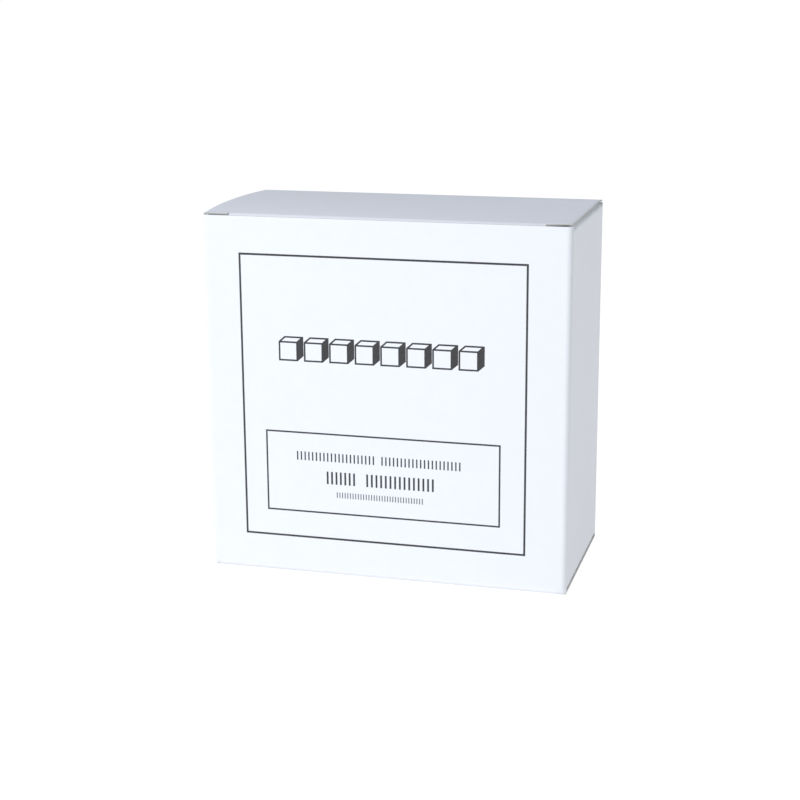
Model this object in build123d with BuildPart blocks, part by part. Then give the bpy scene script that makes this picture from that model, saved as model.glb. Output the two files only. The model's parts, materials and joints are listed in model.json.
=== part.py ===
"""Tuck-top paperboard carton holding eight 2 oz blocks of gymnastics chalk.

The printed front faces -Y and +Z is up. The origin is the centre of the base, where the carton
stands. All lengths are in millimetres.

The carton is one folded blank: four walls joined in a tube by a glue flap, a lid that is hinged on
the back wall and tucks in behind the front wall, and a bottom that is hinged on the front wall and
tucks in behind the back wall. Each closure has two dust flaps, hinged on the side walls.
"""

from build123d import *
import os

os.makedirs("parts", exist_ok=True)

# Carton, over its outer faces
WIDTH = 107.0
DEPTH = 55.0
HEIGHT = 106.3  # to the creases round the lid
LID_BOW = 0.9  # the tucked lid arches above its creases by this much

# Board and folds
BOARD = 0.5
CORNER_RADIUS = 1.0  # outer radius of a folded corner
CREASE_GAP = 0.15  # bare crease between two panels that turn about it
LAYER_GAP = 0.1  # between a closure panel and the dust flaps under it

# Glued joint, in the back left corner
FLAP_WIDTH = 14.0
FLAP_CHAMFER = 5.0
FLAP_END = 14.0  # the flap stops this far from the base and the top, clear of the tuck flap
GLUE = 0.1
GLUE_MARGIN = 2.0  # bare board round the glue line
JOINT_SETBACK = 0.3  # the back wall's cut edge stops this far short of the corner

# Closure panels, which are the lid and the bottom
PANEL_INSET = 0.15  # short of each side wall's outer face
SLIT_LENGTH = 7.5  # slit that frees each end of the tuck flap from its panel
SLIT_WIDTH = 0.4

# Tuck flaps
TUCK_GAP = 0.25  # between a wall's inner face and the hinge line
TUCK_LENGTH = 12.5
TUCK_TILT = 9.0  # degrees that the tucked flap leans in from the wall
TUCK_CORNER = 9.0
TUCK_CLEARANCE = 0.65  # from the hinge line to the flap's near edge

# Dust flaps
DUST_LENGTH = 28.0
DUST_TUCK_GAP = 2.2  # from the outer face on the tuck side to the flap's edge
DUST_HINGE_GAP = 1.2  # from the outer face on the hinge side to the flap's edge
DUST_TAPER = 0.62  # the hinge-side edge runs in by this much for each unit of length
DUST_CORNER = 4.0
SHOULDER_LENGTH = 9.0  # lock shoulder, which stands at the slit
SHOULDER_STEP = 3.0

# Chalk blocks, two each way
BLOCK_WIDTH = 52.2
BLOCK_DEPTH = 24.0
BLOCK_HEIGHT = 51.4
BLOCK_EDGE = 1.2
COLUMN_GAP = 0.6
ROW_GAP = 0.1
BLOCK_LIFT = 0.2  # from the bottom dust flaps to the lower blocks

X_SIDE = WIDTH / 2
Y_FACE = DEPTH / 2
DUST_DEPTH = BOARD + LAYER_GAP  # a dust flap's outer face lies this far under its closure's
STACK = DUST_DEPTH + BOARD
PANEL_EDGE = BOARD + CREASE_GAP  # a wall stops this far short where a closure panel hinges on it
DUST_EDGE = STACK + CREASE_GAP  # and this far short where a dust flap does


def finish(piece, label):
    """Label a finished piece and write it to its own file."""
    piece.part.label = label
    export_step(piece.part, f"parts/{label}.step")


# ---- Walls and the glued joint ----


def wall(loop, region, z_low, z_high):
    """The part of an upright loop of folded board that stands over a region of the plan.

    loop is the box of the loop's outer face, as x_low, x_high, y_low and y_high, and region is
    the corners of an area whose edge is mitred where it crosses a folded corner.
    """
    x_low, x_high, y_low, y_high = loop
    rise = z_high - z_low
    with BuildPart() as piece:
        with BuildSketch(Plane(((x_low + x_high) / 2, (y_low + y_high) / 2, z_low))):
            RectangleRounded(x_high - x_low, y_high - y_low, CORNER_RADIUS)
            offset(amount=-BOARD, mode=Mode.SUBTRACT)
        extrude(amount=rise)
        with BuildSketch(Plane.XY.offset(z_low)):
            with BuildLine():
                Polyline(*region, close=True)
            make_face()
        extrude(amount=rise, mode=Mode.INTERSECT)
    return piece


outer_loop = (-X_SIDE, X_SIDE, -Y_FACE, Y_FACE)
front_left = (-X_SIDE, -Y_FACE)
front_right = (X_SIDE, -Y_FACE)
back_right = (X_SIDE, Y_FACE)
middle_left = (-X_SIDE + Y_FACE, 0)
middle_right = (X_SIDE - Y_FACE, 0)

front_panel = wall(
    outer_loop, (front_left, front_right, middle_right, middle_left), PANEL_EDGE, HEIGHT
)
finish(front_panel, "front_panel")

right_side_panel = wall(
    outer_loop, (front_right, back_right, middle_right), DUST_EDGE, HEIGHT - DUST_EDGE
)
finish(right_side_panel, "right_side_panel")

# The back wall ends in a cut edge at the glued joint, so its loop runs on past that corner
joint_x = -X_SIDE + JOINT_SETBACK
back_panel = wall(
    (-WIDTH, X_SIDE, -Y_FACE, Y_FACE),
    (back_right, middle_right, (joint_x, 0), (joint_x, Y_FACE)),
    0,
    HEIGHT - PANEL_EDGE,
)
finish(back_panel, "back_panel")

# The left wall folds in under the back wall, and its last panel is the glue flap
flap_y = Y_FACE - BOARD - GLUE
inner_loop = (-X_SIDE, X_SIDE, -Y_FACE, flap_y)
fold_corner = (-X_SIDE, flap_y)
fold_centre = (-X_SIDE + CORNER_RADIUS, flap_y - CORNER_RADIUS)
left_side_panel = wall(
    inner_loop,
    (front_left, fold_corner, fold_centre, middle_left),
    DUST_EDGE,
    HEIGHT - DUST_EDGE,
)
finish(left_side_panel, "left_side_panel")

flap_x = -X_SIDE + FLAP_WIDTH
flap_blank = wall(
    inner_loop,
    (fold_corner, fold_centre, (flap_x, fold_centre[1]), (flap_x, flap_y)),
    FLAP_END,
    HEIGHT - FLAP_END,
)
with BuildPart() as glue_flap:
    add(flap_blank.part)
    free_end = glue_flap.faces().sort_by(Axis.X)[-1]
    chamfer(free_end.edges().filter_by(Axis.Y), FLAP_CHAMFER)
finish(glue_flap, "glue_flap")

glue_width = FLAP_WIDTH - CORNER_RADIUS - 2 * GLUE_MARGIN
glue_height = HEIGHT - 2 * (FLAP_END + FLAP_CHAMFER)
glue_centre = (flap_x - GLUE_MARGIN - glue_width / 2, flap_y, HEIGHT / 2)
with BuildPart() as glue_line:
    with BuildSketch(Plane(glue_centre, x_dir=(1, 0, 0), z_dir=(0, 1, 0))):
        Rectangle(glue_width, glue_height)
    extrude(amount=GLUE)
finish(glue_line, "glue_line")

# ---- Lid and bottom ----
# Each closure is drawn on a base plane: its outer face, with +y towards its hinge. The bottom's
# base is the lid's turned half round about X, so it hinges on the opposite wall.

tuck_line = -Y_FACE + BOARD + TUCK_GAP


def closure_panel(base, bow):
    """The lid or the bottom panel, slit at the ends of its tuck crease.

    Its outer face arches by bow between its two creases, or is flat where bow is 0.
    """
    width = WIDTH - 2 * PANEL_INSET
    length = Y_FACE - tuck_line
    side_view = Plane(base.origin, x_dir=base.y_dir, z_dir=base.x_dir)
    with BuildPart() as piece:
        with BuildSketch(side_view):
            with BuildLine() as section:
                if bow:
                    ThreePointArc((tuck_line, 0), ((tuck_line + Y_FACE) / 2, bow), (Y_FACE, 0))
                else:
                    Line((tuck_line, 0), (Y_FACE, 0))
                offset(amount=BOARD, side=Side.RIGHT)
            make_face()
        extrude(amount=width / 2, both=True)
        with BuildSketch(base.moved(Location((0, tuck_line, -length / 2)))):
            with Locations((-width / 2, 0), (width / 2, 0)):
                Rectangle(2 * SLIT_LENGTH, 2 * SLIT_WIDTH)
        extrude(amount=length, mode=Mode.SUBTRACT)
    return piece


def tuck_flap(base):
    """The flap on the panel's free edge, leaning in from the wall that it tucks behind."""
    leaning = Location((0, tuck_line, 0), (90 + TUCK_TILT, 0, 0))
    with BuildPart() as piece:
        with BuildSketch(base.moved(leaning)) as outline:
            with Locations((0, -TUCK_CLEARANCE)):
                Rectangle(
                    WIDTH - 2 * CORNER_RADIUS,
                    TUCK_LENGTH - TUCK_CLEARANCE,
                    align=(Align.CENTER, Align.MAX),
                )
            fillet(outline.vertices().group_by(Axis.Y)[0], TUCK_CORNER)
        extrude(amount=-BOARD)
    return piece


def dust_flap(base, side):
    """The flap folded in from a side wall: side is -1 on the left and 1 on the right."""
    y_tuck = -Y_FACE + DUST_TUCK_GAP
    y_hinge = Y_FACE - DUST_HINGE_GAP
    outline_points = (
        (0, y_tuck),
        (SHOULDER_LENGTH, y_tuck),
        (SHOULDER_LENGTH + SHOULDER_STEP, y_tuck + SHOULDER_STEP),
        (DUST_LENGTH, y_tuck + SHOULDER_STEP),
        (DUST_LENGTH, y_hinge - DUST_TAPER * DUST_LENGTH),
        (0, y_hinge),
    )
    with BuildPart() as piece:
        with BuildSketch(base.moved(Location((side * X_SIDE, 0, -DUST_DEPTH)))) as outline:
            with BuildLine():
                Polyline(*[(-side * inward, y) for inward, y in outline_points], close=True)
            make_face()
            fillet(outline.vertices().sort_by(lambda v: abs(v.X))[-2:], DUST_CORNER)
        extrude(amount=-BOARD)
    return piece


lid_base = Plane.XY.offset(HEIGHT)
bottom_base = Plane((0, 0, 0), x_dir=(1, 0, 0), z_dir=(0, 0, -1))
for closure, base, bow in (("lid", lid_base, LID_BOW), ("bottom", bottom_base, 0)):
    finish(closure_panel(base, bow), f"{closure}_panel")
    finish(tuck_flap(base), f"{closure}_tuck_flap")
    finish(dust_flap(base, -1), f"{closure}_left_dust_flap")
    finish(dust_flap(base, 1), f"{closure}_right_dust_flap")

# ---- Chalk blocks ----


def chalk_block(x, y, z):
    """One pressed block, its edges eased, with its lowest face at z."""
    with BuildPart() as piece:
        with BuildSketch(Plane((x, y, z))):
            Rectangle(BLOCK_WIDTH, BLOCK_DEPTH)
        extrude(amount=BLOCK_HEIGHT)
        fillet(piece.edges(), BLOCK_EDGE)
    return piece


block_x = (BLOCK_WIDTH + COLUMN_GAP) / 2
block_y = (BLOCK_DEPTH + ROW_GAP) / 2
lower_z = STACK + BLOCK_LIFT
for level, z in (("lower", lower_z), ("upper", lower_z + BLOCK_HEIGHT)):
    for row, y in (("front", -block_y), ("back", block_y)):
        for column, x in (("left", -block_x), ("right", block_x)):
            finish(chalk_block(x, y, z), f"chalk_block_{level}_{row}_{column}")
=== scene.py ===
"""Paperboard carton of gymnastics chalk: the finished look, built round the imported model.

Laid out as an add-on, with the sizes and colours as properties, one operator for each kind of
piece and one for the stage. Lengths are in metres, in the frame's own axes: the printed front
faces -Y, +Z is up, and the carton stands on z = 0.
"""

import json
import math
from contextlib import contextmanager

import bmesh
import bpy
from bpy.props import FloatProperty, FloatVectorProperty, IntProperty, PointerProperty
from mathutils import Matrix, Vector


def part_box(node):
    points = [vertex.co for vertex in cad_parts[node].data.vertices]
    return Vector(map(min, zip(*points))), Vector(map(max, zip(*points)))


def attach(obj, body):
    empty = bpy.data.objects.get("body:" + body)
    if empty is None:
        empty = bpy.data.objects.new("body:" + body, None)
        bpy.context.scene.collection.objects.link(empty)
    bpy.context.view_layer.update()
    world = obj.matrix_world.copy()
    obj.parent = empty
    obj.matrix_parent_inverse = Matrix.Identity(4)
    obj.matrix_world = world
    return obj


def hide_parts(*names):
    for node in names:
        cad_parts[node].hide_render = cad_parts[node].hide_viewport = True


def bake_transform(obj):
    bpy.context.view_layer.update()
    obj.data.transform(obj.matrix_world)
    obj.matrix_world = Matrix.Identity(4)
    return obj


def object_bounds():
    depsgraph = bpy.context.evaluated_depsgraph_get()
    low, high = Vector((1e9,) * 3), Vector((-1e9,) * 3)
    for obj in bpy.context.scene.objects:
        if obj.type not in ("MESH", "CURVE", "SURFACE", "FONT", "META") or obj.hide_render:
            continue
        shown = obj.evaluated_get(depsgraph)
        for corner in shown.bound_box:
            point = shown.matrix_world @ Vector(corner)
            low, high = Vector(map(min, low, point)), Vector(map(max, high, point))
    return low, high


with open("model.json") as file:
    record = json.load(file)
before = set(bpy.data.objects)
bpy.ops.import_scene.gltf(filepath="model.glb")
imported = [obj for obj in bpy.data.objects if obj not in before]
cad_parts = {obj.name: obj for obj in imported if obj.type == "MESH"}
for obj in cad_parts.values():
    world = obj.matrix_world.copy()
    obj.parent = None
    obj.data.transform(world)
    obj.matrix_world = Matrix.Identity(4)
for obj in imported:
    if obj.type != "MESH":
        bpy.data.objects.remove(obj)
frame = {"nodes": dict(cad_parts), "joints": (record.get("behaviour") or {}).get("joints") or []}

bl_info = {
    "name": "Chalk carton",
    "version": (1, 0, 0),
    "blender": (4, 5, 0),
    "location": "View3D > Sidebar > Carton",
    "description": "Board, chalk, print and stage for a carton of gymnastics chalk",
    "category": "Object",
}

MM = 0.001
SMALL = 0.005 * MM  # for choosing points that lie on a line
RIGHT_ANGLE = math.radians(90)

# ---- Places taken from the frame ----

cad_low, cad_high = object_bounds()
joint_at = {joint["name"]: Vector(joint["pos_m"]) for joint in frame["joints"]}
bottom_low, bottom_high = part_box("bottom_panel")
glue_low, glue_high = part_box("glue_line")
flap_low, flap_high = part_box("glue_flap")
dust_low, dust_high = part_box("lid_right_dust_flap")

INK_FILM = 0.02 * MM  # the walls stand this far inside the frame, so that the ink stays in it
X_SIDE = cad_high.x
Y_FACE = cad_high.y - INK_FILM
WIDTH = 2 * X_SIDE
BOARD = bottom_high.z - bottom_low.z
Z_LID = joint_at["lid_hinge"].z
Z_DUST = joint_at["lid_right_dust_fold"].z
Y_TUCK = joint_at["lid_tuck_fold"].y
LID_BOW = cad_high.z - Z_LID
PANEL_X = bottom_high.x
TUCK_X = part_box("lid_tuck_flap")[1].x
TAB_CLEARANCE = 1.3 * MM  # the bottom tuck flap is narrower by this, beside the glue tab
Y_FLAP = Y_FACE - BOARD - (glue_high.y - glue_low.y)
MIDDLE_Z = Z_LID / 2
BLOCK_NODES = sorted(name for name in frame["nodes"] if name.startswith("chalk_block"))


# ---- Sizes and colours that a user would change ----


def length_prop(name, description, default):
    return FloatProperty(
        name=name, description=description, default=default, unit="LENGTH", precision=5
    )


def angle_prop(name, description, degrees):
    return FloatProperty(
        name=name, description=description, default=math.radians(degrees), subtype="ANGLE"
    )


def colour_prop(name, description, default):
    return FloatVectorProperty(
        name=name, description=description, default=default, subtype="COLOR", min=0, max=1
    )


class BoardSizes(bpy.types.PropertyGroup):
    crease: length_prop("Crease radius", "Outer radius of a folded corner", 1.6 * MM)
    tuck_crease: length_prop("Tuck crease radius", "Outer radius of the fold at a tuck flap", 1.9 * MM)
    crease_steps: IntProperty(
        name="Crease steps", description="Faces round a right-angled fold", default=8, min=2
    )
    edge_round: length_prop("Cut edge rounding", "Radius left on a die-cut edge", 0.06 * MM)
    slit: length_prop("Lock slit", "Length of the slit at each end of a tuck crease", 7.5 * MM)
    slit_gap: length_prop(
        "Slit gap", "How far the panel's ear stands back from the hinge line", 0.4 * MM
    )
    ear_lift: length_prop("Ear lift", "Rise of the lid's right free corner beside its slit", 0.42 * MM)
    tuck_tilt: angle_prop("Tuck tilt", "Lean of a tucked flap from its wall", 9)
    tuck_length: length_prop("Tuck length", "Length of a tuck flap from its hinge line", 12.5 * MM)
    tuck_corner: length_prop("Tuck corner", "Radius of a tuck flap's free corners", 9 * MM)
    shoulder: length_prop("Lock shoulder", "Length of a dust flap's shoulder", 9 * MM)
    shoulder_step: length_prop(
        "Shoulder step", "How far a dust flap steps in after its shoulder", 3 * MM
    )
    dust_taper: FloatProperty(
        name="Dust flap taper", description="Run-in of the hinge-side edge for each unit of length",
        default=0.62,
    )
    dust_corner: length_prop("Dust flap corner", "Radius of a dust flap's free corners", 4 * MM)
    front_drop: length_prop(
        "Front edge drop", "Depth of the front wall's cut edge under the lid", 0.45 * MM
    )


class PrintSizes(bpy.types.PropertyGroup):
    outer_line: length_prop("Outer rule", "Width of the outer rule", 0.58 * MM)
    inner_line: length_prop("Inner rule", "Width of the lower panel's rule", 0.48 * MM)


class ChalkSizes(bpy.types.PropertyGroup):
    edge: length_prop("Block edge", "Radius of a block's worn edges", 1.0 * MM)
    grain: length_prop("Mesh grain", "Size of the faces that chips are shaped from", 0.8 * MM)
    chip: length_prop("Chip depth", "Deepest chip along an edge", 0.9 * MM)


class CartonColours(bpy.types.PropertyGroup):
    coated: colour_prop("Coated board", "The white printed side of the board", (0.86, 0.89, 0.94))
    uncoated: colour_prop("Uncoated board", "The inside of the board", (0.74, 0.735, 0.71))
    core: colour_prop("Cut edge", "Bare fibre on a cut edge", (0.63, 0.63, 0.62))
    ink: colour_prop("Ink", "Rules and marks", (0.028, 0.028, 0.032))
    light_ink: colour_prop("Light ink", "The faintest row of marks", (0.12, 0.12, 0.13))
    chalk: colour_prop("Chalk", "Pressed magnesium carbonate", (0.90, 0.895, 0.87))
    glue: colour_prop("Glue", "Dried adhesive", (0.72, 0.66, 0.50))


class StageSettings(bpy.types.PropertyGroup):
    azimuth: angle_prop("Azimuth", "Camera's turn to the right of the front", 15.47)
    elevation: angle_prop("Elevation", "Camera's height above the level", 14.40)
    roll: angle_prop("Roll", "Camera's turn about its own axis", 0.36)
    distance: FloatProperty(
        name="Distance", description="From the front wall to the camera, in carton widths",
        default=4.478,
    )
    aim: FloatVectorProperty(
        name="Aim", description="Where the camera looks on the front wall, in carton widths",
        default=(0.0466, 0.512), size=2,
    )
    lens: FloatProperty(name="Lens", description="Focal length in millimetres", default=75.84)


# ---- Modelling helpers ----


def select_only(piece):
    """Make one piece active and the only one selected."""
    bpy.ops.object.select_all(action="DESELECT")
    bpy.context.view_layer.objects.active = piece
    piece.select_set(True)


@contextmanager
def editing(piece):
    """Edit mode on one piece alone."""
    select_only(piece)
    bpy.ops.object.mode_set(mode="EDIT")
    yield
    bpy.ops.object.mode_set(mode="OBJECT")


def settle_place(piece):
    """Put the object at the origin, unturned and unscaled, with its place in its mesh."""
    select_only(piece)
    bpy.ops.object.transform_apply(location=True, rotation=True, scale=True)


def add_sheet(name, centre, size, rotation=(0, 0, 0)):
    """A flat rectangle whose face looks out of the board, to be folded and thickened."""
    bpy.ops.object.select_all(action="DESELECT")
    bpy.ops.mesh.primitive_plane_add(size=1, location=centre, rotation=rotation)
    sheet = bpy.context.active_object
    sheet.name = sheet.data.name = name
    sheet.scale = (size[0], size[1], 1)
    settle_place(sheet)
    return sheet


def add_cuboid(name, low, high):
    """A plain block between two corners, to be shaped."""
    bpy.ops.object.select_all(action="DESELECT")
    bpy.ops.mesh.primitive_cube_add(size=1, location=(low + high) / 2)
    cuboid = bpy.context.active_object
    cuboid.name = cuboid.data.name = name
    cuboid.scale = high - low
    settle_place(cuboid)
    return cuboid


def pick(piece, kind, test):
    """In edit mode, select the elements whose every corner passes the test."""
    bpy.ops.mesh.select_mode(type=kind)
    bpy.ops.mesh.select_all(action="DESELECT")
    mesh = bmesh.from_edit_mesh(piece.data)
    elements = {"VERT": mesh.verts, "EDGE": mesh.edges, "FACE": mesh.faces}[kind]
    for element in elements:
        corners = [element] if kind == "VERT" else element.verts
        element.select_set(all(test(corner.co) for corner in corners))
    bmesh.update_edit_mesh(piece.data)


def fold_edge(piece, test, centre, axis, tail, angle=RIGHT_ANGLE):
    """Carry the free edge that passes the test round a folded corner, then on by the tail.

    The turn is right-handed about the axis; spin turns the other way.
    """
    steps = round(bpy.context.scene.board_sizes.crease_steps * angle / RIGHT_ANGLE)
    with editing(piece):
        pick(piece, "EDGE", test)
        bpy.ops.mesh.spin(steps=steps, angle=-angle, center=centre, axis=axis)
        bpy.ops.mesh.extrude_region_move(TRANSFORM_OT_translate={"value": tail})


def cut_across(point, normal, clear_beyond=False):
    """In edit mode, cut the whole piece by a plane."""
    bpy.ops.mesh.select_all(action="SELECT")
    bpy.ops.mesh.bisect(plane_co=point, plane_no=normal, clear_outer=clear_beyond)


def slice_sheet(piece, direction, places):
    """Cut a sheet across at each place along the direction."""
    direction = Vector(direction)
    with editing(piece):
        for place in places:
            cut_across(direction * place, direction)


def trim(piece, test):
    """Cut away the faces whose every corner passes the test."""
    with editing(piece):
        pick(piece, "FACE", test)
        bpy.ops.mesh.delete(type="FACE")


def even_places(first, last, count):
    """Places spread evenly from first to last, both included."""
    return [first + (last - first) * number / (count - 1) for number in range(count)]


def round_corners(piece, test, radius, segments):
    """Round the corner points that pass the test."""
    with editing(piece):
        pick(piece, "VERT", test)
        bpy.ops.mesh.bevel(affect="VERTICES", offset=radius, segments=segments)


def apply_modifier(piece, kind, **values):
    """Add a modifier, set it and apply it."""
    select_only(piece)
    modifier = piece.modifiers.new(kind.lower(), kind)
    for name, value in values.items():
        setattr(modifier, name, value)
    bpy.ops.object.modifier_apply(modifier=modifier.name)


def keep_rest_place(piece):
    """Store each point's place at rest, so that a pattern stays on board that folds."""
    places = piece.data.attributes.get("rest_place")
    if places is None:
        places = piece.data.attributes.new("rest_place", "FLOAT_VECTOR", "POINT")
    for vertex, place in zip(piece.data.vertices, places.data):
        place.vector = vertex.co


def thicken(piece, seam=None):
    """Give a folded sheet the board's thickness, with its cut edges eased.

    Edges that pass the seam test run on into another piece and stay sharp.
    """
    sizes = bpy.context.scene.board_sizes
    for material in board_materials():
        piece.data.materials.append(material)
    apply_modifier(
        piece, "SOLIDIFY", thickness=BOARD, offset=-1, use_even_offset=True,
        material_offset=1, material_offset_rim=2,
    )
    with editing(piece):
        bpy.ops.mesh.select_mode(type="EDGE")
        bpy.ops.mesh.select_all(action="DESELECT")
        bpy.ops.mesh.edges_select_sharp(sharpness=math.radians(50))
        if seam:
            mesh = bmesh.from_edit_mesh(piece.data)
            for edge in mesh.edges:
                if edge.select and all(seam(corner.co) for corner in edge.verts):
                    edge.select_set(False)
            bmesh.update_edit_mesh(piece.data)
        bpy.ops.mesh.bevel(offset=sizes.edge_round, segments=2, clamp_overlap=True)
    select_only(piece)
    bpy.ops.object.shade_smooth_by_angle(angle=math.radians(35))
    keep_rest_place(piece)


def turn_under(piece):
    """Turn a piece of the lid's closure half round about X, to be the bottom's."""
    with editing(piece):
        bpy.ops.mesh.select_all(action="SELECT")
        bpy.ops.transform.rotate(
            value=math.pi, orient_axis="X", center_override=(0, 0, MIDDLE_Z)
        )


def turned(point):
    """A point of the lid's closure, turned half round about X."""
    return Vector((point[0], -point[1], Z_LID - point[2]))


# ---- Shader groups and materials ----


def feed(tree, socket, value):
    """Link an input to another node's socket, or set its value."""
    if isinstance(value, bpy.types.NodeSocket):
        tree.links.new(value, socket)
    else:
        socket.default_value = value


def add_node(tree, kind, inputs=None, **settings):
    """A node with its settings, and its inputs by name, each a value or a socket."""
    node = tree.nodes.new(kind)
    for name, value in settings.items():
        setattr(node, name, value)
    for name, value in (inputs or {}).items():
        feed(tree, node.inputs[name], value)
    return node


def new_group(name, inputs, outputs):
    """An empty shader group with its sockets, as (tree, input node, output node)."""
    tree = bpy.data.node_groups.new(name, "ShaderNodeTree")
    for socket, kind, default in inputs:
        made = tree.interface.new_socket(socket, in_out="INPUT", socket_type=kind)
        if default is not None:
            made.default_value = default
    for socket, kind in outputs:
        tree.interface.new_socket(socket, in_out="OUTPUT", socket_type=kind)
    return tree, tree.nodes.new("NodeGroupInput"), tree.nodes.new("NodeGroupOutput")


def math_node(tree, operation, first, second=None):
    """One sum, fed by sockets or numbers, as its output socket."""
    node = add_node(tree, "ShaderNodeMath", operation=operation)
    feed(tree, node.inputs[0], first)
    if second is not None:
        feed(tree, node.inputs[1], second)
    return node.outputs[0]


def carried(tree, value, low, high, first=0.0, last=1.0, interpolation="LINEAR"):
    """A value carried from the range low to high onto the range first to last."""
    inputs = {"Value": value, "From Min": low, "From Max": high, "To Min": first, "To Max": last}
    node = add_node(
        tree, "ShaderNodeMapRange", interpolation_type=interpolation, inputs=inputs
    )
    return node.outputs["Result"]


def fibre_group():
    """Paper formation: soft cloudy tone, fine fibres, and a height for both."""
    name = "paper_fibre"
    if name in bpy.data.node_groups:
        return bpy.data.node_groups[name]
    tree, given, result = new_group(
        name,
        [
            ("Place", "NodeSocketVector", None),
            ("Cloud Scale", "NodeSocketFloat", 260.0),
            ("Fibre Scale", "NodeSocketFloat", 2600.0),
            ("Fibre Share", "NodeSocketFloat", 0.35),
        ],
        [("Tone", "NodeSocketFloat"), ("Height", "NodeSocketFloat")],
    )
    stretch = add_node(
        tree, "ShaderNodeMapping", vector_type="POINT",
        inputs={"Vector": given.outputs["Place"], "Scale": (1.0, 1.0, 0.35)},
    )
    cloud = add_node(tree, "ShaderNodeTexNoise", inputs={
        "Vector": given.outputs["Place"], "Scale": given.outputs["Cloud Scale"],
        "Detail": 4.0, "Roughness": 0.62,
    })
    fibre = add_node(tree, "ShaderNodeTexNoise", inputs={
        "Vector": stretch.outputs["Vector"], "Scale": given.outputs["Fibre Scale"],
        "Detail": 3.0, "Roughness": 0.7, "Distortion": 0.8,
    })
    blend = add_node(tree, "ShaderNodeMix", data_type="FLOAT", inputs={
        "Factor": given.outputs["Fibre Share"],
        "A": cloud.outputs["Fac"], "B": fibre.outputs["Fac"],
    })
    feed(tree, result.inputs["Tone"], blend.outputs["Result"])
    feed(tree, result.inputs["Height"], fibre.outputs["Fac"])
    return tree


def crease_group():
    """Where the board is worn: a broken mask along the carton's folded edges; and Base, a mask of
    painted shade that darkens the board towards its bottom edge.
    """
    name = "crease_wear"
    if name in bpy.data.node_groups:
        return bpy.data.node_groups[name]
    tree, given, result = new_group(
        name,
        [("Place", "NodeSocketVector", None), ("Reach", "NodeSocketFloat", 0.9 * MM)],
        [("Mask", "NodeSocketFloat"), ("Base", "NodeSocketFloat")],
    )
    split = add_node(tree, "ShaderNodeSeparateXYZ", inputs={"Vector": given.outputs["Place"]})

    def inside(reach, value):
        return math_node(tree, "SUBTRACT", reach, math_node(tree, "ABSOLUTE", value))

    from_side = inside(X_SIDE, split.outputs["X"])
    from_face = inside(Y_FACE, split.outputs["Y"])
    from_end = inside(MIDDLE_Z, math_node(tree, "SUBTRACT", split.outputs["Z"], MIDDLE_Z))
    nearest = math_node(tree, "MINIMUM", math_node(tree, "MINIMUM", from_side, from_face), from_end)
    furthest = math_node(tree, "MAXIMUM", math_node(tree, "MAXIMUM", from_side, from_face), from_end)
    total = math_node(tree, "ADD", math_node(tree, "ADD", from_side, from_face), from_end)
    middle = math_node(tree, "SUBTRACT", math_node(tree, "SUBTRACT", total, nearest), furthest)
    near = carried(tree, middle, 0.0, given.outputs["Reach"], 1.0, 0.0, "SMOOTHSTEP")
    broken = add_node(
        tree, "ShaderNodeTexNoise",
        inputs={"Vector": given.outputs["Place"], "Scale": 900.0, "Detail": 5.0},
    )
    patchy = carried(tree, broken.outputs["Fac"], 0.42, 0.68)
    # painted shade: 1 at the bottom edge, gone by 1.3 mm up, for the shade where the carton meets the
    # floor
    base = carried(tree, split.outputs["Z"], 0.2 * MM, 1.3 * MM, 1.0, 0.0, "SMOOTHSTEP")
    feed(tree, result.inputs["Mask"], math_node(tree, "MULTIPLY", near, patchy))
    feed(tree, result.inputs["Base"], base)
    return tree


def emptied_tree(owner):
    """The node tree of a material or a world, with nothing in it."""
    owner.use_nodes = True
    owner.node_tree.nodes.clear()
    return owner.node_tree


def start_material(name, roughness, specular, place="rest_place"):
    """A material with its shader and the place that its patterns read."""
    material = bpy.data.materials.new(name)
    tree = emptied_tree(material)
    shader = add_node(
        tree, "ShaderNodeBsdfPrincipled",
        inputs={"Roughness": roughness, "Specular IOR Level": specular},
    )
    add_node(tree, "ShaderNodeOutputMaterial", inputs={"Surface": shader.outputs[0]})
    if place == "object":
        source = add_node(tree, "ShaderNodeTexCoord").outputs["Object"]
    else:
        source = add_node(tree, "ShaderNodeAttribute", attribute_name=place).outputs["Vector"]
    return material, tree, shader, source


def use_group(tree, group, source, **inputs):
    """Place a shader group, fed by the material's place."""
    node = add_node(tree, "ShaderNodeGroup", node_tree=group, inputs={"Place": source})
    for name, value in inputs.items():
        node.inputs[name.replace("_", " ")].default_value = value
    return node


def mixed(tree, factor, first, second):
    """A colour that runs from first to second, each a colour or a socket."""
    mix = add_node(tree, "ShaderNodeMix", data_type="RGBA", inputs={"Factor": factor})
    for name, colour in (("A", first), ("B", second)):
        is_socket = isinstance(colour, bpy.types.NodeSocket)
        feed(tree, mix.inputs[name], colour if is_socket else (*colour, 1))
    return mix.outputs["Result"]


def shade_between(tree, factor, dark, light):
    """A colour that runs from dark to light over the middle of the factor's range."""
    return mixed(tree, carried(tree, factor, 0.3, 0.7), dark, light)


def add_bump(tree, shader, height, distance):
    """Feed a height to the shader's normal."""
    bump = add_node(tree, "ShaderNodeBump", inputs={"Distance": distance, "Height": height})
    feed(tree, shader.inputs["Normal"], bump.outputs["Normal"])


def darker(colour, share):
    """The colour, less a share of its light."""
    return tuple(channel * (1 - share) for channel in colour)


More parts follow.
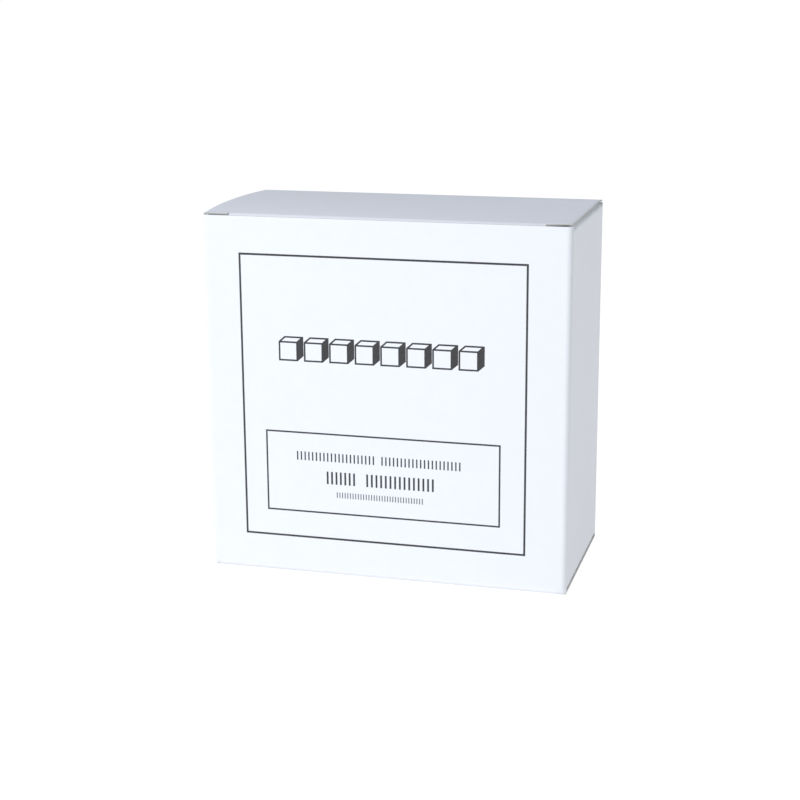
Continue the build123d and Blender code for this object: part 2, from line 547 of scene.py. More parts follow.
def coated_material():
    """The clay-coated white side: nearly even, with a low sheen, worn along its folds, and darkened
    towards the base by painted shade.
    """
    colour = bpy.context.scene.carton_colours.coated
    material, tree, shader, source = start_material("coated_board", 0.48, 0.26)
    fibre = use_group(tree, fibre_group(), source, Cloud_Scale=240.0, Fibre_Share=0.25)
    wear_and_base_shade = use_group(tree, crease_group(), source)
    even = shade_between(tree, fibre.outputs["Tone"], darker(colour, 0.02), colour)
    # the darker colour comes in with the patchy wear along the folds, and with the painted shade near
    # the base
    share = math_node(
        tree, "MAXIMUM", math_node(tree, "MULTIPLY", wear_and_base_shade.outputs["Mask"], 0.12),
        math_node(tree, "MULTIPLY", wear_and_base_shade.outputs["Base"], 0.8),
    )
    worn = mixed(tree, share, even, darker(colour, 0.22))
    feed(tree, shader.inputs["Base Color"], worn)
    gloss = carried(tree, fibre.outputs["Tone"], 0.3, 0.7, 0.44, 0.54)
    rough = math_node(
        tree, "ADD", gloss, math_node(tree, "MULTIPLY", wear_and_base_shade.outputs["Mask"], 0.25)
    )
    feed(tree, shader.inputs["Roughness"], rough)
    add_bump(tree, shader, fibre.outputs["Height"], 0.012 * MM)
    return material


def uncoated_material():
    """The inside of the board: matt, a little warmer, with its fibres showing."""
    colour = bpy.context.scene.carton_colours.uncoated
    material, tree, shader, source = start_material("uncoated_board", 0.86, 0.25)
    fibre = use_group(tree, fibre_group(), source, Cloud_Scale=420.0, Fibre_Share=0.6)
    tone = shade_between(tree, fibre.outputs["Tone"], darker(colour, 0.10), colour)
    dust = add_node(
        tree, "ShaderNodeTexNoise",
        inputs={"Vector": source, "Scale": 150.0, "Detail": 9.0, "Roughness": 0.78},
    )
    settled = carried(tree, dust.outputs["Fac"], 0.5, 0.72, 0.0, 0.5)
    dusted = mixed(tree, settled, tone, bpy.context.scene.carton_colours.chalk)
    feed(tree, shader.inputs["Base Color"], dusted)
    add_bump(tree, shader, fibre.outputs["Height"], 0.04 * MM)
    return material


def core_material():
    """A die-cut edge: bare layered fibre."""
    colour = bpy.context.scene.carton_colours.core
    material, tree, shader, source = start_material("board_core", 0.92, 0.2)
    fibre = use_group(tree, fibre_group(), source, Cloud_Scale=900.0, Fibre_Scale=5200.0,
                      Fibre_Share=0.75)
    tone = shade_between(tree, fibre.outputs["Tone"], darker(colour, 0.16), colour)
    feed(tree, shader.inputs["Base Color"], tone)
    add_bump(tree, shader, fibre.outputs["Height"], 0.06 * MM)
    return material


def board_materials():
    """The board's outer side, inner side and cut edge, made once."""
    makers = {
        "coated_board": coated_material,
        "uncoated_board": uncoated_material,
        "board_core": core_material,
    }
    return [bpy.data.materials.get(name) or make() for name, make in makers.items()]


def ink_material(name, colour):
    """Flat offset ink, faintly mottled where the board takes it unevenly."""
    material, tree, shader, source = start_material(name, 0.5, 0.4, place="object")
    fibre = use_group(tree, fibre_group(), source, Cloud_Scale=1400.0, Fibre_Share=0.5)
    tone = shade_between(tree, fibre.outputs["Tone"], colour, tuple(c + 0.03 for c in colour))
    feed(tree, shader.inputs["Base Color"], tone)
    return material


def chalk_material():
    """Pressed chalk: dry, powdery and finely pitted, with painted shade in the pits."""
    colour = bpy.context.scene.carton_colours.chalk
    material, tree, shader, source = start_material("chalk", 0.96, 0.12, place="object")
    powder = use_group(tree, fibre_group(), source, Cloud_Scale=150.0, Fibre_Scale=1500.0,
                       Fibre_Share=0.4)
    pits = add_node(
        tree, "ShaderNodeTexVoronoi",
        inputs={"Vector": source, "Scale": 620.0, "Randomness": 1.0},
    )
    pit_size = add_node(
        tree, "ShaderNodeTexNoise", inputs={"Vector": source, "Scale": 300.0, "Detail": 2.0}
    )
    reach = carried(tree, pit_size.outputs["Fac"], 0.5, 0.75, 0.02, 0.42)
    pit = carried(tree, pits.outputs["Distance"], 0.0, reach, interpolation="SMOOTHSTEP")
    body = shade_between(tree, powder.outputs["Tone"], darker(colour, 0.07), colour)
    # painted shade: the colour is darker in the pits, where the bump sinks
    pitted = mixed(tree, pit, darker(colour, 0.22), body)
    feed(tree, shader.inputs["Base Color"], pitted)
    height = math_node(
        tree, "ADD", math_node(tree, "MULTIPLY", powder.outputs["Height"], 0.5),
        math_node(tree, "MULTIPLY", pit, 0.8),
    )
    add_bump(tree, shader, height, 0.16 * MM)
    return material


def glue_material():
    """Dried adhesive, a little glossy and uneven."""
    colour = bpy.context.scene.carton_colours.glue
    material, tree, shader, source = start_material("dried_glue", 0.35, 0.5, place="object")
    fibre = use_group(tree, fibre_group(), source, Cloud_Scale=500.0, Fibre_Share=0.2)
    tone = shade_between(tree, fibre.outputs["Tone"], darker(colour, 0.2), colour)
    feed(tree, shader.inputs["Base Color"], tone)
    add_bump(tree, shader, fibre.outputs["Tone"], 0.05 * MM)
    return material


# ---- Board pieces ----

JOINT_SETBACK = 0.3 * MM  # the back wall's cut edge stops this far short of the corner
BACK_DROP = 0.9 * MM  # depth of the back right corner's top under the lid's crease
TAB_CHAMFER = 5 * MM
EAR_REACH = 7 * MM  # a lifted ear settles over this length
COLUMN_X = 50 * MM  # an extra row of points across each ear
TAIL = 0.6 * MM  # a fold runs on flat by this much before the next piece begins
CORNER_END = 0.5 * MM  # a folded corner stops this far from the top and the base


def add_wall(name, facing, low, high):
    """A flat wall facing front, back, left or right, between two corners of its rectangle."""
    turns = {
        "front": (RIGHT_ANGLE, 0, 0),
        "back": (-RIGHT_ANGLE, 0, 0),
        "right": (0, RIGHT_ANGLE, 0),
        "left": (0, -RIGHT_ANGLE, 0),
    }
    low, high = Vector(low), Vector(high)
    span = high - low
    if facing in ("front", "back"):
        size = (span.x, span.z)
    else:
        size = (span.z, span.y)
    return add_sheet(name, (low + high) / 2, size, turns[facing])


def make_front_wall():
    """The printed wall, with both front corners folded back from it."""
    sizes = bpy.context.scene.board_sizes
    radius = sizes.crease
    flat_x = X_SIDE - radius
    top = Z_LID - sizes.front_drop
    wall = add_wall(
        "front_wall", "front", (-flat_x, -Y_FACE, CORNER_END), (flat_x, -Y_FACE, top)
    )
    slice_sheet(wall, (0, 0, 1), [radius + TAIL])
    for side in (-1, 1):
        fold_edge(
            wall, lambda p: side * p.x > flat_x - SMALL,
            centre=(side * flat_x, -Y_FACE + radius, 0), axis=(0, 0, side), tail=(0, TAIL, 0),
        )
    with editing(wall):
        pick(wall, "VERT", lambda p: p.y > -Y_FACE + radius + SMALL
             and p.z < CORNER_END + SMALL)
        bpy.ops.transform.translate(value=(0, 0, 2 * CORNER_END))
    trim(wall, lambda p: abs(p.x) < flat_x + SMALL and p.z < radius + TAIL + SMALL)
    thicken(wall, lambda p: p.y > -Y_FACE + radius + TAIL - SMALL
            or (abs(p.x) < flat_x + SMALL and p.z < radius + TAIL + SMALL))
    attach(wall, "carton")
    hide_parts("front_panel")


def make_back_wall():
    """The plain wall behind, with the right corner folded from it and its left edge cut."""
    sizes = bpy.context.scene.board_sizes
    radius = sizes.crease
    flat_x = X_SIDE - radius
    crease_z = Z_LID - radius - TAIL
    cut_x = -X_SIDE + JOINT_SETBACK
    top = Z_LID - BACK_DROP
    wall = add_wall(
        "back_wall", "back", (cut_x, Y_FACE, sizes.front_drop), (flat_x, Y_FACE, top)
    )
    slice_sheet(wall, (0, 0, 1), [crease_z])
    slice_sheet(wall, (1, 0, 0), [-flat_x])
    fold_edge(
        wall, lambda p: p.x > flat_x - SMALL,
        centre=(flat_x, Y_FACE - radius, 0), axis=(0, 0, -1), tail=(0, -TAIL, 0),
    )
    trim(wall, lambda p: abs(p.x) < flat_x + SMALL and p.z > crease_z - SMALL)
    thicken(wall, lambda p: p.y < Y_FACE - radius - TAIL + SMALL
            or (abs(p.x) < flat_x + SMALL and p.z > crease_z - SMALL))
    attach(wall, "carton")
    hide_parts("back_panel")


def make_side_wall(side):
    """A narrow wall; its four corners are left standing beside the dust flaps' creases."""
    radius = bpy.context.scene.board_sizes.crease
    name, facing = ("left_wall", "left") if side < 0 else ("right_wall", "right")
    front_y = -Y_FACE + radius + TAIL
    back_y = (Y_FACE if side > 0 else Y_FLAP) - radius - TAIL
    under_lid = Z_LID - Z_DUST
    corner_low = under_lid + CORNER_END
    corner_high = Z_DUST - CORNER_END
    crease_low = under_lid + radius + TAIL
    crease_high = Z_DUST - radius - TAIL
    wall = add_wall(
        name, facing, (side * X_SIDE, front_y, corner_low), (side * X_SIDE, back_y, corner_high)
    )
    slice_sheet(wall, (0, 0, 1), [crease_low, crease_high])
    slice_sheet(wall, (0, 1, 0), [-dust_high.y, dust_low.y, -dust_low.y, dust_high.y])

    def over_lid_crease(p):
        return dust_low.y - SMALL < p.y < dust_high.y + SMALL and p.z > crease_high - SMALL

    def under_bottom_crease(p):
        return -dust_high.y - SMALL < p.y < -dust_low.y + SMALL and p.z < crease_low + SMALL

    trim(wall, over_lid_crease)
    trim(wall, under_bottom_crease)
    thicken(wall, lambda p: p.y < front_y + SMALL or p.y > back_y - SMALL
            or over_lid_crease(p) or under_bottom_crease(p))
    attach(wall, "carton")
    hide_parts("left_side_panel" if side < 0 else "right_side_panel")


def make_glue_tab():
    """The tab folded from the left wall and glued behind the back wall, with its corner."""
    radius = bpy.context.scene.board_sizes.crease
    flat_x = -X_SIDE + radius
    strip_x = flat_x + TAIL
    end = CORNER_END + Z_LID - Z_DUST
    tab = add_wall(
        "glue_tab", "back", (flat_x, Y_FLAP, end), (flap_high.x, Y_FLAP, Z_LID - end)
    )
    slice_sheet(tab, (1, 0, 0), [strip_x])
    slice_sheet(tab, (0, 0, 1), [flap_low.z, flap_high.z])
    trim(tab, lambda p: p.x > strip_x - SMALL and p.z < flap_low.z + SMALL)
    trim(tab, lambda p: p.x > strip_x - SMALL and p.z > flap_high.z - SMALL)
    round_corners(tab, lambda p: p.x > flap_high.x - SMALL, TAB_CHAMFER, 1)
    fold_edge(
        tab, lambda p: p.x < flat_x + SMALL,
        centre=(flat_x, Y_FLAP - radius, 0), axis=(0, 0, 1), tail=(0, -TAIL, 0),
    )
    thicken(tab, lambda p: p.y < Y_FLAP - radius - TAIL + SMALL)
    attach(tab, "carton")
    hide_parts("glue_flap")


def lid_rise(x, y):
    """How far the lid arches above its creases at a place.

    It arches most at the left edge, and lifts a little at the right end of its hinge.
    """
    sizes = bpy.context.scene.board_sizes
    tuck_y = Y_TUCK + sizes.tuck_crease + TAIL
    hinge_y = Y_FACE - sizes.crease
    along = min(max((y - tuck_y) / (hinge_y - tuck_y), 0), 1)
    across = x / PANEL_X
    arch = 1 - (2 * along**0.8 - 1) ** 2
    rise = LID_BOW * arch * (0.66 - 0.32 * across)
    rear_lift = 0.9 * LID_BOW * max(across, 0) ** 3 * 9 * along**8 * (1 - along)
    return min(rise + rear_lift, 0.97 * LID_BOW)


def ear_rise(x, y):
    """The extra rise of the free corner beside each slit, most of it on the right."""
    sizes = bpy.context.scene.board_sizes
    slit_x = X_SIDE - sizes.slit
    outward = min(max((abs(x) - slit_x) / (PANEL_X - slit_x), 0), 1)
    forward = min(max((Y_TUCK + EAR_REACH - y) / EAR_REACH, 0), 1)
    return sizes.ear_lift * (1.0 if x > 0 else 0.1) * outward * forward**2


def make_closure_panel(name, bowed):
    """The lid's or the bottom's panel, with its hinge crease, and an ear beside each slit."""
    sizes = bpy.context.scene.board_sizes
    radius = sizes.crease
    flat_x = X_SIDE - radius
    slit_x = X_SIDE - sizes.slit
    ear_y = Y_TUCK + sizes.slit_gap
    tuck_y = Y_TUCK + sizes.tuck_crease + TAIL
    hinge_y = Y_FACE - radius
    panel = add_sheet(
        name, (0, (ear_y + hinge_y) / 2, Z_LID), (2 * PANEL_X, hinge_y - ear_y)
    )
    columns = [-flat_x, -COLUMN_X, *even_places(-slit_x, slit_x, 7), COLUMN_X, flat_x]
    slice_sheet(panel, (1, 0, 0), columns)
    slice_sheet(panel, (0, 1, 0), even_places(tuck_y, hinge_y, 15)[:-1])
    trim(panel, lambda p: abs(p.x) < slit_x + SMALL and p.y < tuck_y + SMALL)
    if bowed:
        places = sorted({(round(v.co.x, 6), round(v.co.y, 6)) for v in panel.data.vertices})
        with editing(panel):
            for x, y in places:
                rise = lid_rise(x, y) + ear_rise(x, y)
                pick(panel, "VERT", lambda p: abs(p.x - x) < SMALL and abs(p.y - y) < SMALL)
                bpy.ops.transform.translate(value=(0, 0, rise))
    fold_edge(
        panel, lambda p: p.y > hinge_y - SMALL and abs(p.x) < flat_x + SMALL,
        centre=(0, hinge_y, Z_LID - radius), axis=(-1, 0, 0), tail=(0, 0, -TAIL),
    )
    thicken(panel, lambda p: p.z < Z_LID - radius - TAIL + SMALL
            or (abs(p.x) < slit_x + SMALL and p.y < tuck_y + SMALL))
    return panel


def bend_closure(piece, start, end, under):
    """Turn a piece of a closure half round for the bottom, where asked, and bake its transform into
    its mesh.
    """
    if under:
        turn_under(piece)
        keep_rest_place(piece)
        start, end = turned(start), turned(end)
    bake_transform(piece)


def make_panels():
    radius = bpy.context.scene.board_sizes.crease
    start = (0, Y_FACE, Z_LID - radius)
    end = (0, Y_FACE - radius, Z_LID)
    lid = make_closure_panel("lid_board", True)
    bend_closure(lid, start, end, False)
    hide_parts("lid_panel")
    base = make_closure_panel("base_board", False)
    bend_closure(base, start, end, True)
    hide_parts("bottom_panel")


def make_tongue(name, half_width):
    """A tuck flap with its crease, which runs only between the slits."""
    sizes = bpy.context.scene.board_sizes
    radius = sizes.tuck_crease
    turn = RIGHT_ANGLE + sizes.tuck_tilt
    slit_x = X_SIDE - sizes.slit
    outward = Vector((0, -math.cos(sizes.tuck_tilt), -math.sin(sizes.tuck_tilt)))
    onward = Vector((0, math.sin(sizes.tuck_tilt), -math.cos(sizes.tuck_tilt)))
    centre = Vector((0, Y_TUCK + radius, Z_LID - radius))
    root = centre + radius * outward
    length = sizes.tuck_length - radius
    tongue = add_sheet(
        name, root + onward * length / 2, (2 * half_width, length), (turn, 0, 0)
    )
    round_corners(tongue, lambda p: (p - root).dot(onward) > length - SMALL,
                  sizes.tuck_corner, 12)
    slice_sheet(tongue, (1, 0, 0), [-slit_x, slit_x])
    fold_edge(
        tongue, lambda p: (p - root).dot(onward) < SMALL and abs(p.x) < slit_x + SMALL,
        centre=centre, axis=(-1, 0, 0), tail=(0, TAIL, 0), angle=turn,
    )
    thicken(tongue, lambda p: p.y > centre.y + TAIL - SMALL and p.z > Z_LID - BOARD - SMALL)
    return tongue, centre + Vector((0, 0, radius)), root


def make_tongues():
    lid_tongue, start, end = make_tongue("lid_tongue", TUCK_X)
    bend_closure(lid_tongue, start, end, False)
    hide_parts("lid_tuck_flap")
    base_tongue, start, end = make_tongue("base_tongue", TUCK_X - TAB_CLEARANCE)
    bend_closure(base_tongue, start, end, True)
    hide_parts("bottom_tuck_flap")


def make_dust_wing(name, side):
    """A dust flap with its crease: a lock shoulder at the tuck side, tapered at the hinge side."""
    sizes = bpy.context.scene.board_sizes
    radius = sizes.crease
    root_x = side * (X_SIDE - radius)
    free_x = side * dust_low.x
    tuck_y, hinge_y = dust_low.y, dust_high.y
    step_y = tuck_y + sizes.shoulder_step
    wing = add_sheet(
        name, ((root_x + free_x) / 2, (tuck_y + hinge_y) / 2, Z_DUST),
        (abs(root_x - free_x), hinge_y - tuck_y),
    )
    shoulder_point = Vector((side * (X_SIDE - sizes.shoulder), tuck_y, Z_DUST))
    slope = Vector((-side, -1, 0))
    with editing(wing):
        cut_across((side * X_SIDE, hinge_y, Z_DUST), (-side * sizes.dust_taper, 1, 0), True)
        cut_across(shoulder_point, slope)
        cut_across((0, step_y, 0), (0, 1, 0))
    trim(wing, lambda p: p.y < step_y + SMALL and (p - shoulder_point).dot(slope) > -SMALL)
    with editing(wing):
        bpy.ops.mesh.select_all(action="SELECT")
        bpy.ops.mesh.dissolve_limited(angle_limit=math.radians(1))
    round_corners(wing, lambda p: abs(p.x - free_x) < SMALL, sizes.dust_corner, 8)
    fold_edge(
        wing, lambda p: abs(p.x - root_x) < SMALL,
        centre=(root_x, 0, Z_DUST - radius), axis=(0, side, 0), tail=(0, 0, -TAIL),
    )
    thicken(wing, lambda p: p.z < Z_DUST - radius - TAIL + SMALL)
    start = (side * X_SIDE, 0, Z_DUST - radius)
    end = (root_x, 0, Z_DUST)
    return wing, start, end


def make_dust_wings():
    for side, word in ((-1, "left"), (1, "right")):
        for closure, under in (("lid", False), ("bottom", True)):
            wing, start, end = make_dust_wing(f"{closure}_{word}_wing", side)
            bend_closure(wing, start, end, under)
            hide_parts(f"{closure}_{word}_dust_flap")


# ---- Glue, chalk and print ----

BEAD_CORNER = 2 * MM
BLOCK_CLEARANCE = 0.1 * MM  # each face of a block starts this far inside its place
EDGE_BAND = 2.6 * MM  # chips reach this far in from an edge


def make_glue_bead():
    """The line of adhesive between the tab and the back wall."""
    bead = add_cuboid("glue_bead", glue_low, glue_high - Vector((0, INK_FILM, 0)))
    bead.data.materials.append(glue_material())
    with editing(bead):
        bpy.ops.mesh.select_mode(type="EDGE")
        mesh = bmesh.from_edit_mesh(bead.data)
        for edge in mesh.edges:
            along = edge.verts[0].co - edge.verts[1].co
            edge.select_set(abs(along.x) + abs(along.z) < SMALL)
        bmesh.update_edit_mesh(bead.data)
        bpy.ops.mesh.bevel(offset=BEAD_CORNER, segments=4)
    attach(bead, "carton")
    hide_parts("glue_line")


def chip_texture():
    """Where chips come away from an edge: bare patches of a cloudy texture."""
    texture = bpy.data.textures.new("chip_patches", "CLOUDS")
    texture.noise_scale = 6 * MM
    texture.noise_depth = 5
    texture.use_color_ramp = True
    ramp = texture.color_ramp
    ramp.elements[0].position = 0.55
    ramp.elements[0].color = (0, 0, 0, 1)
    ramp.elements[1].position = 0.78
    ramp.elements[1].color = (1, 1, 1, 1)
    return texture


def powder_texture():
    """The slight unevenness of a pressed face."""
    texture = bpy.data.textures.new("powder_waves", "CLOUDS")
    texture.noise_scale = 7 * MM
    texture.noise_depth = 4
    return texture


def make_block(node, number, chips, waves, material):
    """One pressed block: edges worn round, chipped here and there, faces a little uneven."""
    sizes = bpy.context.scene.chalk_sizes
    low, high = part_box(node)
    inset = Vector((1, 1, 1)) * BLOCK_CLEARANCE
    block = add_cuboid(f"block_{number}", low + inset, high - inset)
    middle = (low + high) / 2
    half = (high - low) / 2 - inset
    with editing(block):
        bpy.ops.mesh.select_all(action="SELECT")
        bpy.ops.mesh.bevel(offset=sizes.edge, segments=4)
    for axis in range(3):
        reach = half[axis] - sizes.edge
        count = max(int(2 * reach / sizes.grain), 2)
        places = even_places(middle[axis] - reach, middle[axis] + reach, count)[1:-1]
        slice_sheet(block, Matrix.Identity(3)[axis], places)
    edge_band = block.vertex_groups.new(name="edge_band")
    for vertex in block.data.vertices:
        depths = sorted(half[axis] - abs(vertex.co[axis] - middle[axis]) for axis in range(3))
        weight = min(max(1 - depths[1] / EDGE_BAND, 0), 1)
        if weight > 0:
            edge_band.add([vertex.index], weight, "REPLACE")
    apply_modifier(block, "DISPLACE", texture=waves, strength=0.12 * MM, mid_level=0.9)
    apply_modifier(block, "DISPLACE", texture=chips, strength=-sizes.chip, mid_level=0.0,
                   vertex_group="edge_band")
    select_only(block)
    bpy.ops.object.shade_smooth()
    block.data.materials.append(material)
    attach(block, "carton")
    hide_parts(node)


def make_blocks():
    chips, waves, material = chip_texture(), powder_texture(), chalk_material()
    for number, node in enumerate(BLOCK_NODES, 1):
        make_block(node, number, chips, waves, material)


def finish_ink(mark, material, flat=True):
    """Ink a mark, and give a flat one the ink film's thickness, just proud of the front wall."""
    if flat:
        apply_modifier(mark, "SOLIDIFY", thickness=2 * INK_FILM, offset=0)
    mark.data.materials.clear()
    mark.data.materials.append(material)
    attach(mark, "carton")


def add_mark(name, x, z, width, height):
    """A flat rectangle on the front wall, centred on x and z."""
    return add_sheet(name, (x, -Y_FACE, z), (width, height), (RIGHT_ANGLE, 0, 0))


def repeat_across(mark, count, pitch):
    """Repeat a mark to the right, to count marks in all."""
    apply_modifier(mark, "ARRAY", count=count, use_relative_offset=False,
                   use_constant_offset=True, constant_offset_displace=(pitch, 0, 0))


def make_rule(name, x, z, width, height, line, material):
    """A printed rectangle's outline."""
    rule = add_mark(name, x, z, width + line, height + line)
    with editing(rule):
        bpy.ops.mesh.select_mode(type="FACE")
        bpy.ops.mesh.select_all(action="SELECT")
        bpy.ops.mesh.inset(thickness=line)
        bpy.ops.mesh.delete(type="FACE")
    finish_ink(rule, material)


def make_block_row(material):
    """Eight small outlined blocks in a row: what the carton holds, with no words."""
    size, back_x, back_z, pitch, line = 5.3 * MM, 1.7 * MM, 1.5 * MM, 7.6 * MM, 0.5 * MM
    centre_x, centre_z = -0.8 * MM, 68.0 * MM
    first_x = centre_x - 3.5 * pitch - back_x / 2
    low_z = centre_z - back_z / 2
    backward = {"value": (back_x, 0, back_z)}
    right_x, top_z = first_x + size / 2, low_z + size / 2

    outlines = add_mark("block_outlines", first_x, low_z, size, size)
    with editing(outlines):
        pick(outlines, "EDGE", lambda p: p.z > top_z - SMALL)
        bpy.ops.mesh.extrude_region_move(TRANSFORM_OT_translate=backward)
        pick(outlines, "EDGE", lambda p: abs(p.x - right_x) < SMALL and p.z < top_z + SMALL)
        bpy.ops.mesh.extrude_region_move(TRANSFORM_OT_translate=backward)
        bpy.ops.mesh.select_all(action="SELECT")
        bpy.ops.mesh.remove_doubles(threshold=0.01 * MM)
    apply_modifier(outlines, "WIREFRAME", thickness=line, use_boundary=True, use_replace=True,
                   use_even_offset=True)
    with editing(outlines):
        bpy.ops.mesh.select_all(action="SELECT")
        bpy.ops.transform.resize(
            value=(1, 2 * INK_FILM / line, 1), center_override=(0, -Y_FACE, 0)
        )
    repeat_across(outlines, 8, pitch)
    finish_ink(outlines, material, flat=False)

    shades = add_mark("block_shades", first_x, low_z, size, size)
    with editing(shades):
        pick(shades, "EDGE", lambda p: p.x > right_x - SMALL)
        bpy.ops.mesh.extrude_region_move(TRANSFORM_OT_translate=backward)
        pick(shades, "FACE", lambda p: p.x < right_x + SMALL)
        bpy.ops.mesh.delete(type="FACE")
    repeat_across(shades, 8, pitch)
    finish_ink(shades, material)


def make_ticks(name, left_x, z, length, height, width, pitch, material):
    """A band of plain upright ticks."""
    band = add_mark(name, left_x + width / 2, z, width, height)
    repeat_across(band, int((length - width) / pitch) + 1, pitch)
    finish_ink(band, material)


def make_print():
    sizes = bpy.context.scene.print_sizes
    colours = bpy.context.scene.carton_colours
    dark = ink_material("dark_ink", colours.ink)
    light = ink_material("light_ink", colours.light_ink)
    make_rule("outer_rule", -0.46 * MM, 53.2 * MM, 83.76 * MM, 83.67 * MM,
              sizes.outer_line, dark)
    make_rule("inner_rule", -0.70 * MM, 31.21 * MM, 69.54 * MM, 23.96 * MM,
              sizes.inner_line, dark)
    make_block_row(dark)
    for name, left, z, length, height, width, pitch, ink in (
        ("upper_ticks_left", -26.3, 36.2, 23.6, 2.6, 0.40, 1.15, dark),
        ("upper_ticks_right", -0.7, 36.2, 24.2, 2.6, 0.40, 1.15, dark),
        ("middle_ticks_left", -17.3, 30.0, 9.9, 3.8, 0.55, 1.34, dark),
        ("middle_ticks_right", -5.3, 30.0, 20.4, 3.8, 0.55, 1.40, dark),
        ("lower_ticks", -14.3, 24.95, 26.5, 1.7, 0.28, 0.80, light),
    ):
        make_ticks(name, left * MM, z * MM, length * MM, height * MM, width * MM, pitch * MM, ink)


# ---- Stage ----


def aim_camera():
    """The camera, from its turn, height and roll about a point on the front wall."""
    stage = bpy.context.scene.stage_settings
    across = Vector((math.cos(stage.azimuth), math.sin(stage.azimuth), 0))
    back = Vector((
        math.sin(stage.azimuth) * math.cos(stage.elevation),
        -math.cos(stage.azimuth) * math.cos(stage.elevation),
        math.sin(stage.elevation),
    ))
    upward = back.cross(across)
    rolled_up = upward * math.cos(stage.roll) + across * math.sin(stage.roll)
    rolled_across = across * math.cos(stage.roll) - upward * math.sin(stage.roll)
    aim = Vector((stage.aim[0] * WIDTH, cad_low.y, stage.aim[1] * WIDTH))
    bpy.ops.object.select_all(action="DESELECT")
    bpy.ops.object.camera_add(location=aim + back * stage.distance * WIDTH)
    camera = bpy.context.active_object
    turn = Matrix((rolled_across, rolled_up, back)).transposed()
    camera.rotation_euler = turn.to_euler()
    camera.data.lens = stage.lens
    camera.data.sensor_width = 36
    camera.data.clip_start = 0.01
    camera.data.clip_end = 100
    bpy.context.scene.camera = camera


def add_area_light(name, place, target, size, power, colour):
    """A soft square light aimed at a point."""
    bpy.ops.object.select_all(action="DESELECT")
    bpy.ops.object.light_add(type="AREA", location=place)
    light = bpy.context.active_object
    light.name = name
    toward = Vector(target) - Vector(place)
    light.rotation_euler = toward.to_track_quat("-Z", "Y").to_euler()
    light.data.size = size
    light.data.energy = power
    light.data.color = colour


def make_floor():
    """A white sweep far wider than the view, bright enough to read as paper white."""
    bpy.ops.object.select_all(action="DESELECT")
    bpy.ops.mesh.primitive_plane_add(size=40, location=(0, 0, 0))
    floor = bpy.context.active_object
    floor.name = "floor"
    material = bpy.data.materials.new("white_sweep")
    tree = emptied_tree(material)
    shader = add_node(
        tree, "ShaderNodeBsdfPrincipled",
        inputs={
            "Base Color": (0.30, 0.30, 0.30, 1), "Roughness": 1.0, "Specular IOR Level": 0.0,
            "Emission Color": (1, 1, 1, 1), "Emission Strength": 0.86,
        },
    )
    add_node(tree, "ShaderNodeOutputMaterial", inputs={"Surface": shader.outputs[0]})
    floor.data.materials.append(material)


def make_sky():
    """Pale light all round, bluer overhead and dimmer to the right and behind."""
    world = bpy.data.worlds.new("pale_sky")
    bpy.context.scene.world = world
    tree = emptied_tree(world)
    place = add_node(tree, "ShaderNodeTexCoord").outputs["Generated"]
    split = add_node(tree, "ShaderNodeSeparateXYZ", inputs={"Vector": place})
    height = carried(tree, split.outputs["Z"], 0.0, 0.9)
    hue = mixed(tree, height, (0.46, 0.46, 0.48), (0.70, 0.735, 0.80))
    toward = add_node(tree, "ShaderNodeVectorMath", operation="DOT_PRODUCT")
    feed(tree, toward.inputs[0], place)
    feed(tree, toward.inputs[1], (0.75, 0.66, 0.0))
    shade = carried(tree, toward.outputs["Value"], -0.1, 1.0, 1.0, 0.13)
    dimmed = add_node(
        tree, "ShaderNodeVectorMath", operation="SCALE", inputs={"Scale": shade}
    )
    feed(tree, dimmed.inputs[0], hue)
    background = add_node(tree, "ShaderNodeBackground", inputs={"Color": dimmed.outputs[0]})
    add_node(tree, "ShaderNodeOutputWorld", inputs={"Surface": background.outputs[0]})


def make_stage():
    aim_camera()
    make_floor()
    make_sky()
    middle = (0, 0, MIDDLE_Z)
    add_area_light("key", (-0.75, -1.3, 1.05), middle, 0.9, 12.7, (1.0, 0.99, 0.98))
    bpy.context.scene.view_settings.view_transform = "Standard"


# ---- Operators and panel ----


class CARTON_OT_stage(bpy.types.Operator):
    """Set the camera, the white floor, the sky and the key light"""

    bl_idname = "carton.stage"
    bl_label = "Stage"

    def execute(self, context):
        make_stage()
        return {"FINISHED"}


class CARTON_OT_walls(bpy.types.Operator):
    """Make the four walls and the glue tab, each with its share of the folded corners"""

    bl_idname = "carton.walls"
    bl_label = "Walls"

    def execute(self, context):
        make_front_wall()
        make_back_wall()
        make_side_wall(-1)
        make_side_wall(1)
        make_glue_tab()
        return {"FINISHED"}


class CARTON_OT_panels(bpy.types.Operator):
    """Make the lid and the bottom panel, each with its hinge crease"""

    bl_idname = "carton.panels"
    bl_label = "Lid and bottom"

    def execute(self, context):
        make_panels()
        return {"FINISHED"}


class CARTON_OT_tongues(bpy.types.Operator):
    """Make the tuck flap of each closure, with its crease"""

    bl_idname = "carton.tongues"
    bl_label = "Tuck flaps"

    def execute(self, context):
        make_tongues()
        return {"FINISHED"}


class CARTON_OT_dust_wings(bpy.types.Operator):
    """Make the two dust flaps of each closure, with their creases"""

    bl_idname = "carton.dust_wings"
    bl_label = "Dust flaps"

    def execute(self, context):
        make_dust_wings()
        return {"FINISHED"}


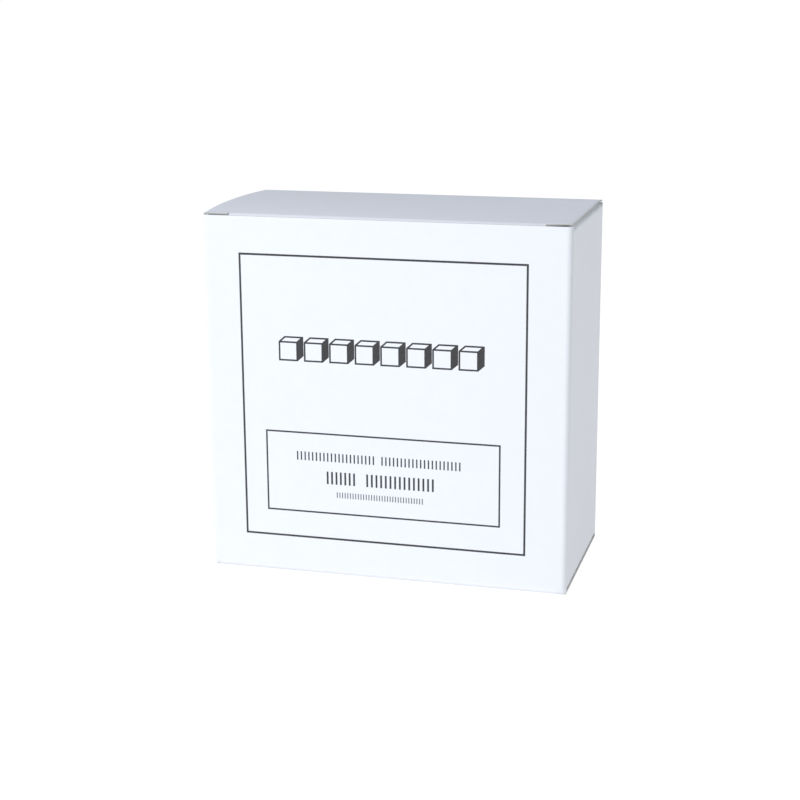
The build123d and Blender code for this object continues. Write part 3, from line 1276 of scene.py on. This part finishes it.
class CARTON_OT_glue(bpy.types.Operator):
    """Make the line of adhesive that holds the tab"""

    bl_idname = "carton.glue"
    bl_label = "Glue line"

    def execute(self, context):
        make_glue_bead()
        return {"FINISHED"}


class CARTON_OT_blocks(bpy.types.Operator):
    """Make the eight blocks of chalk, each chipped in its own way"""

    bl_idname = "carton.blocks"
    bl_label = "Chalk blocks"

    def execute(self, context):
        make_blocks()
        return {"FINISHED"}


class CARTON_OT_print(bpy.types.Operator):
    """Print the rules, the row of outlined blocks and the bands of ticks"""

    bl_idname = "carton.print"
    bl_label = "Print"

    def execute(self, context):
        make_print()
        return {"FINISHED"}


class CARTON_PT_panel(bpy.types.Panel):
    bl_idname = "CARTON_PT_panel"
    bl_label = "Chalk carton"
    bl_space_type = "VIEW_3D"
    bl_region_type = "UI"
    bl_category = "Carton"

    def draw(self, context):
        for operator in OPERATORS:
            self.layout.operator(operator.bl_idname)


OPERATORS = (
    CARTON_OT_stage,
    CARTON_OT_walls,
    CARTON_OT_panels,
    CARTON_OT_tongues,
    CARTON_OT_dust_wings,
    CARTON_OT_glue,
    CARTON_OT_blocks,
    CARTON_OT_print,
)
GROUPS = {
    "board_sizes": BoardSizes,
    "print_sizes": PrintSizes,
    "chalk_sizes": ChalkSizes,
    "carton_colours": CartonColours,
    "stage_settings": StageSettings,
}


def register():
    for group in GROUPS.values():
        bpy.utils.register_class(group)
    for operator in OPERATORS:
        bpy.utils.register_class(operator)
    bpy.utils.register_class(CARTON_PT_panel)
    for name, group in GROUPS.items():
        setattr(bpy.types.Scene, name, PointerProperty(type=group))


def unregister():
    for name in GROUPS:
        delattr(bpy.types.Scene, name)
    bpy.utils.unregister_class(CARTON_PT_panel)
    for operator in reversed(OPERATORS):
        bpy.utils.unregister_class(operator)
    for group in reversed(GROUPS.values()):
        bpy.utils.unregister_class(group)


def main():
    register()
    bpy.ops.carton.stage()
    bpy.ops.carton.walls()
    bpy.ops.carton.panels()
    bpy.ops.carton.tongues()
    bpy.ops.carton.dust_wings()
    bpy.ops.carton.glue()
    bpy.ops.carton.blocks()
    bpy.ops.carton.print()


if __name__ == "__main__":
    main()
